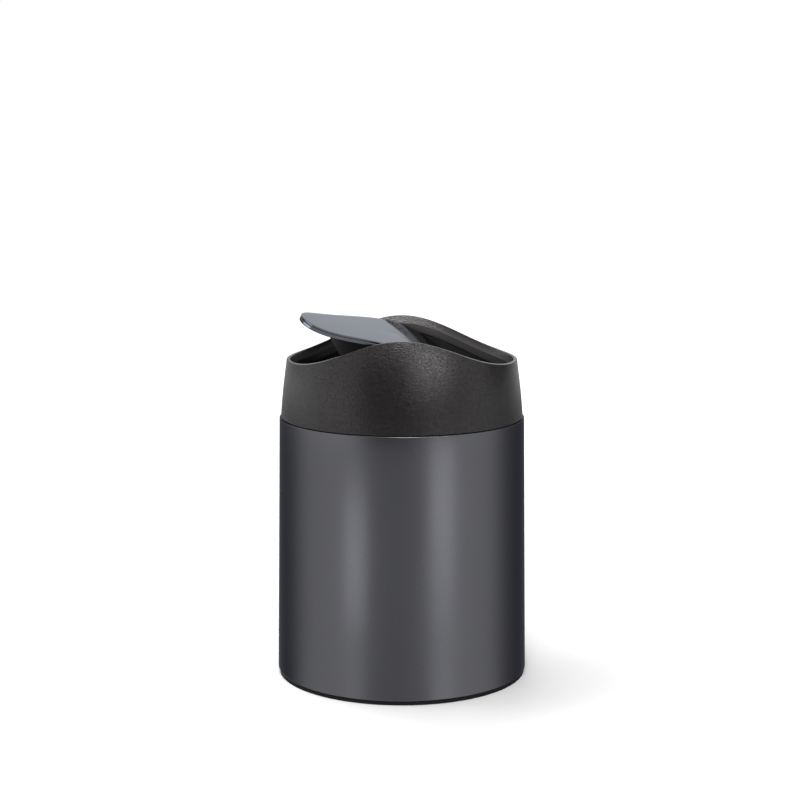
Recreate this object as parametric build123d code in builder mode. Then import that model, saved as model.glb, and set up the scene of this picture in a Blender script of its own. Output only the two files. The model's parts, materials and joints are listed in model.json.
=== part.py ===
"""Countertop bin with a tipping push flap: steel body, lift-out bucket and lift-off saddle-rimmed lid.

Origin at the centre of the base, +Z up, sizes in millimetres. The flap turns about an axis along Y, and the
bin is drawn with the +X side of its flap pushed down by flap_tilt.
"""
from math import cos, pi
import os

from build123d import *

# ---- body: drafted steel wall on a rubber ring ----
base_radius = 61.8            # steel wall at its foot, outside
seam_radius = 60.1            # steel wall at its top, outside
shell_top = 127.7             # height of the turned-in top hem
sheet = 0.8                   # steel sheet thickness
foot_radius = 1.3             # rounding between wall and bottom flange
hem_width = 1.9               # how far the top hem turns inwards
hem_depth = 2.0               # how far the hem turns down again
bottom_flange_width = 8.0
base_ring_height = 1.6        # rubber showing under the steel
base_ring_inset = 0.7         # rubber ring set back from the steel
base_ring_width = 17.0
base_disc_clearance = 0.5
base_screw_count = 4
base_screw_recess = 0.3       # screw heads sit this far above the floor

# ---- lift-out bucket ----
bucket_clearance = 0.6        # radial gap inside the hem
bucket_wall = 1.5
bucket_flange = 0.8           # thickness of the hanging flange
bucket_flange_overlap = 1.3   # how far the flange reaches out past the bucket wall
bucket_foot_radius = 54.0
bucket_corner = 6.0
bucket_lift_gap = 1.2         # space under the hanging bucket

# ---- lid collar ----
collar_step = 0.7             # how far the collar's foot is set in from the body's top
collar_height = 44.0          # from the foot to where the rim is cut from, past its peak
collar_taper = 5.7            # how far the side leans in over collar_height
collar_bulge = 0.66           # outward bow of the collar's side
collar_wall = 2.45
lip_step = 0.95               # how far the lip stands in from the collar wall
rim_low_rise = 28.4           # rim above the collar's foot at the two X sides
rim_peak_rise = 43.2          # and at the two Y sides
lip_step_depth = 3.9          # top of the lip, below the rim
lip_depth = 7.3
rim_overrun = 0.15            # the rim's wave levels out this far past the collar's side
ledge_height = 3.5            # internal ledge that the frame is screwed to
ledge_width = 3.8

# ---- lid frame, inside the collar ----
plug_depth = 8.0              # how far the frame reaches into the bucket
plug_clearance = 0.5
plug_wall = 2.2
frame_flange = 2.5
frame_clearance = 0.35
frame_screw_count = 4
post_width = 13.0
post_foot_width = 25.0
post_thickness = 2.0
post_inset = 3.8              # posts stand this far in from the plug's outside
post_lip_gap = 0.8            # gap between a post and the lip above it
post_flap_gap = 0.4           # gap between a post and the edge of the flap

# ---- flap ----
flap_tilt = 23.8              # how far the flap is pushed down at rest, degrees
flap_end_gap = 0.9            # gap between the level flap's ends and the lip
flap_end_rise = 0.4           # top of the level flap at its two ends, above the rim there
flap_crown_drop = 4.7         # top of the level flap along its middle, below the rim's peak
pivot_drop = 7.0              # pivot axis, below the top of the flap's middle
skin_plate = 0.9
groove_height = 0.5
groove_depth = 0.8
skin_band = 1.2
carrier_plate = 1.6
carrier_end_inset = 11.5       # carrier set in from the flap's outline along X
carrier_side_inset = 1.2      # and along Y, where its ears come down beside the posts
hull_end_inset = 15.0         # hull set in from the flap's outline along X
hull_side_inset = 6.4         # and along Y
hull_bottom = 15.5            # keel of the hull, below the pivot
hull_wall = 1.8
ear_width = 8.0
ear_thickness = 2.0
ear_reach = 3.5               # how far an ear reaches below the pivot
ear_post_gap = 0.9
pin_radius = 1.5
running_clearance = 0.05
pin_grip = 4.5                # length of pin held inside the hull
pin_chamfer = 0.3

# ---- ballast and stops ----
ballast_length = 32.0
ballast_width = 24.0
ballast_height = 5.0
ballast_drop = 6.0            # top of the ballast, below the pivot
ballast_rounding = 2.0
ballast_screw_spacing = 20.0
stop_inner = 8.5
stop_outer = 11.5
stop_pad_height = 2.0
stop_drop = 7.9               # top of a stop pad, below the pivot
stop_pad_length = 2.6
stop_arm_height = 3.0
stop_arm_margin = 0.5         # how far an arm reaches past its pad
stop_pad_rounding = 0.4

# ---- small screws ----
screw_radius = 0.9
screw_head_radius = 1.5
screw_head_height = 1.2
screw_slot_length = 1.8       # cross recess
screw_slot_width = 0.4
screw_slot_depth = 0.6
screw_hole_clearance = 0.2
screw_thread_clearance = 0.02
screw_bite = 3.0              # thread length in the piece it holds to
boss_radius = 3.0

os.makedirs("parts", exist_ok=True)


def save(builder, name):
    """Label a finished piece and write its STEP file."""
    builder.part.label = name
    export_step(builder.part, f"parts/{name}.step")


# ---- derived heights and radii ----
collar_seat_radius = seam_radius - collar_step
collar_top_radius = collar_seat_radius - collar_taper
shell_foot = base_ring_height
seat_height = shell_top + bucket_flange
collar_top = seat_height + collar_height
rim_low = seat_height + rim_low_rise
rim_peak = seat_height + rim_peak_rise
flap_end_height = rim_low + flap_end_rise
flap_crown_height = rim_peak - flap_crown_drop
pivot_height = flap_crown_height - pivot_drop
bucket_top_radius = seam_radius - hem_width - bucket_clearance
plug_radius = bucket_top_radius - bucket_wall - plug_clearance
plug_bore = plug_radius - plug_wall
frame_flange_top = seat_height + frame_flange
flap_mid_height = (flap_end_height + flap_crown_height) / 2
flap_amplitude = (flap_crown_height - flap_end_height) / 2
skin_thickness = skin_plate + groove_height + skin_band
cut_reach = base_radius + 10  # past every piece, for cutting tools
cut_top = collar_top + 10
level = (1, 0)                # direction of a wave's two ends

post_outer = plug_radius - post_inset
flap_half_width = post_outer - post_thickness - post_flap_gap
hull_half_width = flap_half_width - hull_side_inset

# planes of the flap: its level top view and its front view, both through the pivot axis
flap_plane = Plane.XY.offset(pivot_height).rotated((0, flap_tilt, 0))
flap_front = Plane(origin=flap_plane.origin, x_dir=flap_plane.x_dir, z_dir=(0, -1, 0))


def collar_radius(height):
    """Outside radius of the collar at a height, on its bowed side."""
    rise = collar_top - seat_height
    share = (height - seat_height) / rise
    straight = collar_seat_radius + (collar_top_radius - collar_seat_radius) * share
    return straight + 4 * collar_bulge * share * (1 - share)


rim_reach = collar_radius(rim_low) + rim_overrun
lip_inset = collar_wall + lip_step
flap_half_length = collar_radius(flap_end_height) - lip_inset - flap_end_gap
hull_half_length = flap_half_length - hull_end_inset


def wave_points(half_span, end_height, crown_height):
    """Points of one cosine wave: level at both ends, highest in the middle."""
    swell = (crown_height - end_height) / 2
    steps = [count / 4 for count in range(-4, 5)]
    return [(half_span * step, end_height + swell * (1 + cos(pi * step))) for step in steps]


def above_rim(drop):
    """Face that covers everything above the saddle-shaped rim lowered by drop, in front view."""
    with BuildSketch(Plane.XZ) as region:
        with BuildLine():
            low = rim_low - drop
            saddle = Spline(wave_points(rim_reach, low, rim_peak - drop), tangents=(level, level))
            Polyline(saddle @ 1, (cut_reach, low), (cut_reach, cut_top), (-cut_reach, cut_top),
                     (-cut_reach, low), saddle @ 0)
        make_face()
    return region.sketch


def collar_ring(outer_inset, inner_inset, bottom, top):
    """Ring that follows the collar's bowed side, between two depths measured in from its outside."""
    with BuildPart() as ring:
        with BuildSketch(Plane.XZ):
            with BuildLine():
                outer_foot = (collar_seat_radius - outer_inset, seat_height)
                outer_head = (collar_top_radius - outer_inset, collar_top)
                inner_foot = (collar_seat_radius - inner_inset, seat_height)
                inner_head = (collar_top_radius - inner_inset, collar_top)
                SagittaArc(outer_foot, outer_head, -collar_bulge)
                Line(outer_head, inner_head)
                SagittaArc(inner_foot, inner_head, -collar_bulge)
                Line(inner_foot, outer_foot)
            make_face()
        revolve(axis=Axis.Z)
        with BuildSketch(Plane.XY.offset(bottom)):
            Circle(cut_reach)
        extrude(amount=top - bottom, mode=Mode.INTERSECT)
    return ring.part


def flap_height(across):
    """Height of the level flap's top above the pivot, at a distance from its middle along X."""
    return flap_mid_height + flap_amplitude * cos(pi * across / flap_half_length) - pivot_height


def flap_slab(half_length, half_width, top_drop, bottom_drop):
    """Slab with an oval outline that follows the flap's arched top between two depths below it."""
    crown = flap_crown_height - pivot_height
    end = flap_end_height - pivot_height
    with BuildPart() as slab:
        with BuildSketch(flap_front):
            with BuildLine():
                top = Spline(wave_points(flap_half_length, end - top_drop, crown - top_drop),
                             tangents=(level, level))
                bottom = Spline(wave_points(flap_half_length, end - bottom_drop, crown - bottom_drop),
                                tangents=(level, level))
                Line(top @ 0, bottom @ 0)
                Line(top @ 1, bottom @ 1)
            make_face()
        extrude(amount=cut_reach, both=True)
        with BuildSketch(flap_plane):
            Ellipse(half_length, half_width)
        extrude(amount=cut_reach, both=True, mode=Mode.INTERSECT)
    return slab.part


def screw_at(plane, length, name):
    """Pan-head screw whose head lies under the plane's origin and whose thread runs along its normal."""
    with BuildPart() as screw:
        with BuildSketch(plane):
            Circle(screw_head_radius)
        extrude(amount=screw_head_height)
        with BuildSketch(plane):
            Circle(screw_radius)
        extrude(amount=length)
        with BuildSketch(plane):
            Rectangle(screw_slot_length, screw_slot_width)
            Rectangle(screw_slot_width, screw_slot_length)
        extrude(amount=screw_slot_depth, mode=Mode.SUBTRACT)
    save(screw, name)


# ---- steel body ----
with BuildPart() as body_shell:
    with BuildSketch(Plane.XZ):
        with BuildLine():
            Polyline((base_radius - bottom_flange_width, shell_foot), (base_radius, shell_foot),
                     (seam_radius, shell_top), (seam_radius - hem_width, shell_top),
                     (seam_radius - hem_width, shell_top - hem_depth),
                     (seam_radius - hem_width + sheet, shell_top - hem_depth),
                     (seam_radius - hem_width + sheet, shell_top - sheet),
                     (seam_radius - sheet, shell_top - sheet),
                     (base_radius - sheet, shell_foot + sheet),
                     (base_radius - bottom_flange_width, shell_foot + sheet), close=True)
        make_face()
    revolve(axis=Axis.Z)
    foot_edges = body_shell.edges().filter_by(GeomType.CIRCLE)
    outer_foot_edge = foot_edges.filter_by(lambda e: abs(e.radius - base_radius) < 1e-3)
    fillet(outer_foot_edge, foot_radius)
    inner_foot_edge = body_shell.edges().filter_by(GeomType.CIRCLE).filter_by(
        lambda e: abs(e.radius - (base_radius - sheet)) < 1e-3)
    fillet(inner_foot_edge, foot_radius - sheet)
    top_edge = body_shell.edges().filter_by(GeomType.CIRCLE).filter_by(
        lambda e: abs(e.radius - seam_radius) < 1e-3)
    fillet(top_edge, sheet / 2)
save(body_shell, "body_shell")

base_screw_circle = base_radius - bottom_flange_width - boss_radius - bucket_clearance
base_screw_places = PolarLocations(base_screw_circle, base_screw_count, start_angle=45)

# disc that closes the body from inside, resting on the shell's bottom flange
base_disc_bottom = shell_foot + sheet
base_disc_radius = base_radius - sheet - (foot_radius - sheet) - base_disc_clearance
with BuildPart() as base_disc:
    with BuildSketch(Plane.XY.offset(base_disc_bottom)):
        Circle(base_disc_radius)
        with base_screw_places:
            Circle(screw_radius + screw_hole_clearance, mode=Mode.SUBTRACT)
    extrude(amount=sheet)
save(base_disc, "base_disc")

# rubber ring under the flange, with a shoulder inside the flange that meets the disc
base_ring_radius = base_radius - base_ring_inset
with BuildPart() as base_ring:
    with BuildSketch(Plane.XY):
        Circle(base_ring_radius)
        Circle(base_ring_radius - base_ring_width, mode=Mode.SUBTRACT)
    extrude(amount=base_ring_height)
    with BuildSketch(Plane.XY.offset(base_ring_height)):
        Circle(base_radius - bottom_flange_width - screw_hole_clearance)
        Circle(base_ring_radius - base_ring_width, mode=Mode.SUBTRACT)
    extrude(amount=sheet)
    with BuildSketch(Plane.XY):
        with base_screw_places:
            Circle(screw_head_radius + screw_hole_clearance)
    extrude(amount=base_screw_recess + screw_head_height, mode=Mode.SUBTRACT)
    with BuildSketch(Plane.XY):
        with base_screw_places:
            Circle(screw_radius + screw_hole_clearance)
    extrude(amount=base_ring_height + sheet, mode=Mode.SUBTRACT)
save(base_ring, "base_ring")

base_screw_length = base_disc_bottom + sheet - base_screw_recess
for number, place in enumerate(base_screw_places, start=1):
    screw_plane = Plane.XY.offset(base_screw_recess).move(place)
    screw_at(screw_plane, base_screw_length, f"base_screw_{number}")

# ---- lift-out bucket, hanging on the hem by its flange ----
bucket_bottom = base_disc_bottom + sheet + bucket_lift_gap
with BuildPart() as inner_bucket:
    with BuildSketch(Plane.XZ):
        with BuildLine():
            Polyline((0, bucket_bottom), (bucket_foot_radius, bucket_bottom), (bucket_top_radius, shell_top),
                     (bucket_top_radius + bucket_flange_overlap, shell_top),
                     (bucket_top_radius + bucket_flange_overlap, seat_height),
                     (bucket_top_radius - bucket_wall, seat_height),
                     (bucket_foot_radius - bucket_wall, bucket_bottom + bucket_wall),
                     (0, bucket_bottom + bucket_wall), close=True)
        make_face()
    revolve(axis=Axis.Z)
    corners = inner_bucket.edges().filter_by(GeomType.CIRCLE)
    fillet(corners.filter_by(lambda e: abs(e.radius - bucket_foot_radius) < 1e-3), bucket_corner)
    corners = inner_bucket.edges().filter_by(GeomType.CIRCLE)
    fillet(corners.filter_by(lambda e: abs(e.radius - bucket_foot_radius + bucket_wall) < 1e-3),
           bucket_corner - bucket_wall)
save(inner_bucket, "inner_bucket")


# ---- lid collar: bowed ring with a saddle rim, a lip inside the rim, and a ledge for the frame ----
ledge_bottom = frame_flange_top
ledge_outer = collar_radius(ledge_bottom + ledge_height) - collar_wall / 2
ledge_inner = ledge_outer - collar_wall / 2 - ledge_width
frame_flange_radius = collar_radius(frame_flange_top) - collar_wall - frame_clearance
ledge_screw_circle = frame_flange_radius - screw_head_radius - 2 * screw_hole_clearance
ledge_screw_places = PolarLocations(ledge_screw_circle, frame_screw_count, start_angle=45)

with BuildPart() as lip_ring:
    add(collar_ring(collar_wall / 2, lip_inset, seat_height, collar_top))
    extrude(above_rim(lip_step_depth), amount=cut_reach, both=True, mode=Mode.SUBTRACT)
    extrude(above_rim(lip_depth), amount=cut_reach, both=True, mode=Mode.INTERSECT)

with BuildPart() as lid_collar:
    add(collar_ring(0, collar_wall, seat_height, collar_top))
    extrude(above_rim(0), amount=cut_reach, both=True, mode=Mode.SUBTRACT)
    add(lip_ring.part)
    with BuildSketch(Plane.XY.offset(ledge_bottom)):
        Circle(ledge_outer)
        Circle(ledge_inner, mode=Mode.SUBTRACT)
        Rectangle(post_foot_width + 2 * frame_clearance, 2 * (post_outer + frame_clearance),
                  mode=Mode.SUBTRACT)
        with ledge_screw_places:
            Circle(screw_radius + screw_thread_clearance, mode=Mode.SUBTRACT)
    extrude(amount=ledge_height)
save(lid_collar, "lid_collar")

# ---- lid frame: plug ring in the bucket's mouth, flange under the ledge, and two pivot posts ----
post_top = rim_peak - lip_depth - post_lip_gap
stop_top = pivot_height - stop_drop
stop_arm_top = stop_top - stop_pad_height
stop_middle = (stop_inner + stop_outer) / 2
stop_arm_reach = post_outer - post_thickness - stop_pad_length - 2 * stop_arm_margin
stop_pad_middle = stop_arm_reach + stop_arm_margin + stop_pad_length / 2
with BuildPart() as lid_frame:
    with BuildSketch(Plane.XY.offset(seat_height - plug_depth)):
        Circle(plug_radius)
        Circle(plug_bore, mode=Mode.SUBTRACT)
    extrude(amount=plug_depth)
    with BuildSketch(Plane.XY.offset(seat_height)):
        Circle(frame_flange_radius)
        Circle(post_outer - post_thickness, mode=Mode.SUBTRACT)
    extrude(amount=frame_flange)
    with BuildSketch(Plane.XY.offset(seat_height)):
        with ledge_screw_places:
            Circle(screw_head_radius + screw_hole_clearance)
    extrude(amount=screw_head_height, mode=Mode.SUBTRACT)
    with BuildSketch(Plane.XY.offset(seat_height)):
        with ledge_screw_places:
            Circle(screw_radius + screw_hole_clearance)
    extrude(amount=frame_flange, mode=Mode.SUBTRACT)
    for side in (1, -1):
        with BuildSketch(Plane.XZ.offset(-side * post_outer)):
            with BuildLine():
                foot, head = post_foot_width / 2, post_width / 2
                Polyline((-foot, seat_height), (foot, seat_height), (foot, stop_arm_top),
                         (head, stop_arm_top), (head, post_top), (-head, post_top),
                         (-head, stop_arm_top), (-foot, stop_arm_top), close=True)
            make_face()
            with Locations((0, pivot_height)):
                Circle(pin_radius + running_clearance, mode=Mode.SUBTRACT)
        extrude(amount=side * post_thickness)
        for end in (1, -1):
            with BuildSketch(Plane.XY.offset(stop_arm_top)):
                with Locations((end * stop_middle, side * (stop_arm_reach + post_outer) / 2)):
                    Rectangle(stop_outer - stop_inner + 2 * stop_arm_margin, post_outer - stop_arm_reach)
            extrude(amount=-stop_arm_height)
save(lid_frame, "lid_frame")

for number, place in enumerate(ledge_screw_places, start=1):
    screw_plane = Plane.XY.offset(seat_height).move(place)
    screw_at(screw_plane, frame_flange + screw_bite, f"frame_screw_{number}")

# ---- rubber stop pads on the shoulders of the posts ----
stop_number = 0
for side in (1, -1):
    for end in (1, -1):
        stop_number += 1
        with BuildPart() as stop_pad:
            with BuildSketch(Plane.XY.offset(stop_arm_top)):
                with Locations((end * stop_middle, side * stop_pad_middle)):
                    RectangleRounded(stop_outer - stop_inner, stop_pad_length, stop_pad_rounding)
            extrude(amount=stop_pad_height)
        save(stop_pad, f"stop_pad_{stop_number}")

# ---- flap: metal skin with a groove round its edge ----
with BuildPart() as flap_skin:
    add(flap_slab(flap_half_length, flap_half_width, 0, skin_thickness))
    add(flap_slab(flap_half_length + 1, flap_half_width + 1, skin_plate, skin_plate + groove_height)
        - flap_slab(flap_half_length - groove_depth, flap_half_width - groove_depth, 0, skin_thickness),
        mode=Mode.SUBTRACT)
save(flap_skin, "flap_skin")

# ---- flap carrier: plate under the skin, hull that holds the ballast, and two ears for the pins ----
carrier_top = skin_thickness
carrier_bottom = skin_thickness + carrier_plate
hull_end = flap_height(hull_half_length) - carrier_bottom
floor_end = hull_end + hull_wall
floor_bottom = hull_bottom - hull_wall


def hull_block(half_length, half_width, keel, end_height):
    """Oval block between the flap's arched underside and a round keel."""
    with BuildPart() as block:
        with BuildSketch(flap_front):
            with BuildLine():
                keel_arc = ThreePointArc((-half_length, end_height), (0, -keel), (half_length, end_height))
                Polyline(keel_arc @ 1, (half_length, hull_bottom), (-half_length, hull_bottom), keel_arc @ 0)
            make_face()
        extrude(amount=cut_reach, both=True)
        with BuildSketch(flap_plane):
            Ellipse(half_length, half_width)
        extrude(amount=cut_reach, both=True, mode=Mode.INTERSECT)
    return block.part


flap_underside = flap_slab(flap_half_length, flap_half_width, carrier_bottom - carrier_plate / 2, cut_reach)
carrier_slab = flap_slab(flap_half_length - carrier_end_inset, flap_half_width - carrier_side_inset,
                         carrier_top, carrier_bottom)
whole_flap = flap_slab(flap_half_length, flap_half_width, 0, carrier_bottom + hull_wall)
pin_start = hull_half_width - hull_wall - pin_grip
hull_cavity = hull_block(hull_half_length - hull_wall, hull_half_width - hull_wall, floor_bottom, floor_end)
ballast_seat = ballast_drop + ballast_height
ear_outer = flap_half_width + post_flap_gap - ear_post_gap
with BuildPart() as flap_carrier:
    add(hull_block(hull_half_length, hull_half_width, hull_bottom, hull_end))
    add(hull_cavity, mode=Mode.SUBTRACT)
    with BuildSketch(flap_plane.offset(-ballast_seat)):
        with GridLocations(0, ballast_screw_spacing, 1, 2):
            Circle(boss_radius)
    extrude(amount=ballast_seat - hull_bottom + hull_wall / 2)
    for side in (1, -1):
        with BuildSketch(Plane.XZ.offset(-side * hull_half_width)):
            with Locations((0, pivot_height)):
                Circle(boss_radius)
        extrude(amount=side * (hull_wall + pin_grip))
    add(flap_underside, mode=Mode.INTERSECT)
    add(carrier_slab)
    add(hull_cavity & whole_flap, mode=Mode.SUBTRACT)
    for side in (1, -1):
        with BuildSketch(Plane(origin=(0, side * ear_outer, pivot_height), x_dir=flap_plane.x_dir,
                               z_dir=(0, -side, 0))):
            with BuildLine():
                head = flap_crown_height - pivot_height - carrier_bottom + carrier_plate / 2
                Polyline((-ear_width / 2, head), (-ear_width / 2, -ear_reach + ear_width / 2))
                ThreePointArc((-ear_width / 2, -ear_reach + ear_width / 2), (0, -ear_reach),
                              (ear_width / 2, -ear_reach + ear_width / 2))
                Polyline((ear_width / 2, -ear_reach + ear_width / 2), (ear_width / 2, head),
                         (-ear_width / 2, head))
            make_face()
        extrude(amount=ear_thickness)
        with BuildSketch(Plane.XZ.offset(-side * post_outer)):
            with Locations((0, pivot_height)):
                Circle(pin_radius + screw_thread_clearance)
        extrude(amount=side * (post_outer - pin_start), mode=Mode.SUBTRACT)
    with BuildSketch(flap_plane.offset(-ballast_seat)):
        with GridLocations(0, ballast_screw_spacing, 1, 2):
            Circle(screw_radius + screw_thread_clearance)
    extrude(amount=-screw_bite, mode=Mode.SUBTRACT)
save(flap_carrier, "flap_carrier")

for side, name in ((-1, "front"), (1, "back")):
    with BuildPart() as pivot_pin:
        with BuildSketch(Plane.XZ.offset(-side * post_outer)):
            with Locations((0, pivot_height)):
                Circle(pin_radius)
        extrude(amount=side * (post_outer - pin_start))
        ends = pivot_pin.edges().filter_by(GeomType.CIRCLE)
        chamfer(ends, pin_chamfer)
    save(pivot_pin, f"pivot_pin_{name}")

# ---- steel ballast that levels the flap, screwed to the hull's bosses ----
with BuildPart() as ballast_bar:
    with BuildSketch(flap_plane.offset(-ballast_seat)):
        RectangleRounded(ballast_width, ballast_length, ballast_rounding)
        with GridLocations(0, ballast_screw_spacing, 1, 2):
            Circle(screw_radius + screw_hole_clearance, mode=Mode.SUBTRACT)
    extrude(amount=ballast_height)
save(ballast_bar, "ballast_bar")

for number, side in enumerate((-1, 1), start=1):
    head_place = (0, side * ballast_screw_spacing / 2, screw_head_height - ballast_drop)
    screw_plane = Plane(origin=flap_plane.from_local_coords(head_place), x_dir=flap_plane.x_dir,
                        z_dir=-flap_plane.z_dir)
    screw_at(screw_plane, screw_head_height + ballast_height + screw_bite, f"ballast_screw_{number}")
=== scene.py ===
# %% [markdown]
# # A countertop bin with a tipping push flap
#
# The bin is a slate-grey steel can on a rubber ring. A charcoal plastic collar sits on it, with a rim that
# rises at the front and back and dips at the two sides, and an arched metal flap turns inside the collar.
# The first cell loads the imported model. Its bodies and nodes are the fixed frame that every piece made here
# is placed by, in metres, with +Z up and the origin under the middle of the base.

# %% Load the frame
import json
from math import asin, atan2, cos, degrees, pi, radians, sin

import bpy
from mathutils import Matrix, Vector


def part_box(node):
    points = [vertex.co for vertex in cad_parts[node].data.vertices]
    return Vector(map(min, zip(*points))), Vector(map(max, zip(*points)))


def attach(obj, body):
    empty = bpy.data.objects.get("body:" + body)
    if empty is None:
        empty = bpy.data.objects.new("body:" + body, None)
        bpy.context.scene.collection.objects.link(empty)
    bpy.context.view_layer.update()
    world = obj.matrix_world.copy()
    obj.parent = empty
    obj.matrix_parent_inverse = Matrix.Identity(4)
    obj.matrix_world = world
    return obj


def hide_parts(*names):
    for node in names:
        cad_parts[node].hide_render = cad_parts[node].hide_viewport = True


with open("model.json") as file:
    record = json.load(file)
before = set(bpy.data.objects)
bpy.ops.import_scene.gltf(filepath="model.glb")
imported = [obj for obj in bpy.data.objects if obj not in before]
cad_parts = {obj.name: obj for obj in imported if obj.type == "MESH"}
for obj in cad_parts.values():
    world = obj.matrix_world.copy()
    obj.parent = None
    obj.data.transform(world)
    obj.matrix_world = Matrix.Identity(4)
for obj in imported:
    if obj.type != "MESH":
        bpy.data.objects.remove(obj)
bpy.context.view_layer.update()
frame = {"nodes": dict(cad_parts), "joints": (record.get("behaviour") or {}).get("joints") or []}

print("nodes:", len(frame["nodes"]))

# %% [markdown]
# ## The bin's sizes
# A few driving sizes say where everything is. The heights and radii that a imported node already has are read
# from its box, so that the pieces made here keep to the frame. The others are written in millimetres and
# turned into metres once.

# %% Driving sizes
MM = 0.001


def node_radius(node):
    """Largest distance from the bin's axis along X, from the node's box."""
    low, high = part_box(node)
    return max(high[0], -low[0])


def node_low(node):
    """Height of a node's lowest corner."""
    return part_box(node)[0][2]


def node_high(node):
    """Height of a node's highest corner."""
    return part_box(node)[1][2]


flap_joint = next(joint for joint in frame["joints"] if joint["name"] == "flap_swing")
pivot_height = flap_joint["pos_m"][2]
FLAP_TILT = radians(23.8)
base_radius = node_radius("body_shell")
SEAM_RADIUS = 60.1 * MM
shell_foot = node_low("body_shell")
shell_top = node_high("body_shell")
seat_height = node_low("lid_collar")
rim_peak = node_high("lid_collar")
RIM_LOW = 156.9 * MM
collar_seat_radius = node_radius("lid_collar")
print("body radius", round(base_radius, 4), "seat", round(seat_height, 4), "rim peak", round(rim_peak, 4))
print("pivot height", pivot_height)

# %% [markdown]
# ## Turned pieces
# The steel wall and the bucket are bodies of revolution: a lathe or a spinning press makes them, and one
# outline says all there is to say. An outline is a closed polygon of (radius, height) corners. Each corner
# gets its own rounding, because a sheet is never bent to a knife edge, and the rounding is what catches the
# thin line of light along a hem.

# %% Round an outline and turn it about the axis
ROUND_STEPS = 6
SAME_PLACE = 0.001 * MM


def rounded(corners):
    """Outline of (x, y) points from corners given as (x, y, rounding), with an arc at each corner."""
    outline = []
    for index, (x, y, rounding) in enumerate(corners):
        here = Vector((x, y))
        if rounding <= 0:
            outline.append(here)
            continue
        back = (Vector(corners[index - 1][:2]) - here).normalized()
        ahead = (Vector(corners[(index + 1) % len(corners)][:2]) - here).normalized()
        half_angle = back.angle(ahead) / 2
        reach = rounding / abs(sin(half_angle) / cos(half_angle))
        centre = here + (back + ahead).normalized() * (rounding / sin(half_angle))
        first, last = here + back * reach, here + ahead * reach
        start = atan2(first.y - centre.y, first.x - centre.x)
        sweep = atan2(last.y - centre.y, last.x - centre.x) - start
        sweep = (sweep + pi) % (2 * pi) - pi
        for step in range(ROUND_STEPS + 1):
            angle = start + sweep * step / ROUND_STEPS
            outline.append(centre + Vector((cos(angle), sin(angle))) * rounding)
    return outline


def loops_mesh(name, loops, closed):
    """Mesh of quads between loops of points, where a loop of one point is a pole.

    Closed joins the last loop to the first."""
    points, faces, starts = [], [], []
    for loop in loops:
        starts.append(len(points))
        points.extend(loop)
    pairs = list(zip(range(len(loops)), range(1, len(loops))))
    if closed:
        pairs.append((len(loops) - 1, 0))
    around = max(len(loop) for loop in loops)
    for low, high in pairs:
        for step in range(around):
            ahead = (step + 1) % around
            corners = []
            for loop, side in ((low, step), (low, ahead), (high, ahead), (high, step)):
                corner = starts[loop] + (side if len(loops[loop]) > 1 else 0)
                if corner not in corners:
                    corners.append(corner)
            if len(corners) > 2:
                faces.append(corners)
    mesh = bpy.data.meshes.new(name)
    mesh.from_pydata([tuple(point) for point in points], [], faces)
    mesh.validate()
    return mesh


def turned_mesh(name, outline, around=192):
    """Mesh of an outline of (radius, height) turned about the bin's axis."""
    loops = []
    for radius, height in outline:
        if radius < SAME_PLACE:
            loops.append([(0.0, 0.0, height)])
            continue
        loops.append([(radius * cos(2 * pi * step / around), radius * sin(2 * pi * step / around), height)
                      for step in range(around)])
    return loops_mesh(name, loops, closed=len(loops[0]) > 1)


print("turning and rounding ready")

# %% [markdown]
# ## Putting a piece in the scene
# Every piece follows one of the imported bodies, takes the finish it is given, and stands for the imported
# nodes that it replaces. Normals are made to point outwards in one place, here, so that no piece can come
# out inside out.

# %% Finish a piece
import bmesh

SHARP_ANGLE = radians(38)


def outward(mesh):
    """Make every face of a closed mesh point outwards."""
    work = bmesh.new()
    work.from_mesh(mesh)
    bmesh.ops.remove_doubles(work, verts=work.verts, dist=SAME_PLACE)
    bmesh.ops.recalc_face_normals(work, faces=work.faces)
    work.to_mesh(mesh)
    work.free()


def finish_piece(mesh, body, material, slot, *replaced):
    """Object for a mesh, shaded, on its body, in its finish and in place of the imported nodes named."""
    outward(mesh)
    mesh.shade_smooth()
    mesh.set_sharp_from_angle(angle=SHARP_ANGLE)
    mesh.materials.clear()
    mesh.materials.append(material)
    piece = bpy.data.objects.new(mesh.name, mesh)
    bpy.context.scene.collection.objects.link(piece)
    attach(piece, body)
    if replaced:
        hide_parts(*replaced)
    print(mesh.name, "on", body, "-", len(mesh.polygons), "faces")
    return piece


# %% [markdown]
# ## Finishes
# Each finish is a small tree of shader nodes on object coordinates, so it stays put when a piece moves. A
# helper adds one node, and sets or links its sockets by name. A mix node has a socket of each kind under the
# same name, so its colour sockets go by number.

# %% Shader helpers
MIX_COLOURS, MIX_COLOUR_RESULT = (6, 7), 2


def add_node(tree, kind, inputs=None, **settings):
    """Node of one kind, with its settings and with inputs set to values or linked to other sockets."""
    node = tree.nodes.new(kind)
    for setting, value in settings.items():
        setattr(node, setting, value)
    for name, value in (inputs or {}).items():
        if isinstance(value, bpy.types.NodeSocket):
            tree.links.new(value, node.inputs[name])
        else:
            node.inputs[name].default_value = value
    return node


def new_finish(name):
    """Material with an empty tree, with the tree and its object coordinates."""
    material = bpy.data.materials.new(name)
    material.use_nodes = True
    tree = material.node_tree
    tree.nodes.clear()
    place = add_node(tree, "ShaderNodeTexCoord").outputs["Object"]
    return material, tree, place


def use_shader(tree, shader):
    """Send a shader node to the material's output."""
    output = add_node(tree, "ShaderNodeOutputMaterial")
    tree.links.new(shader.outputs[0], output.inputs["Surface"])


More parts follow.
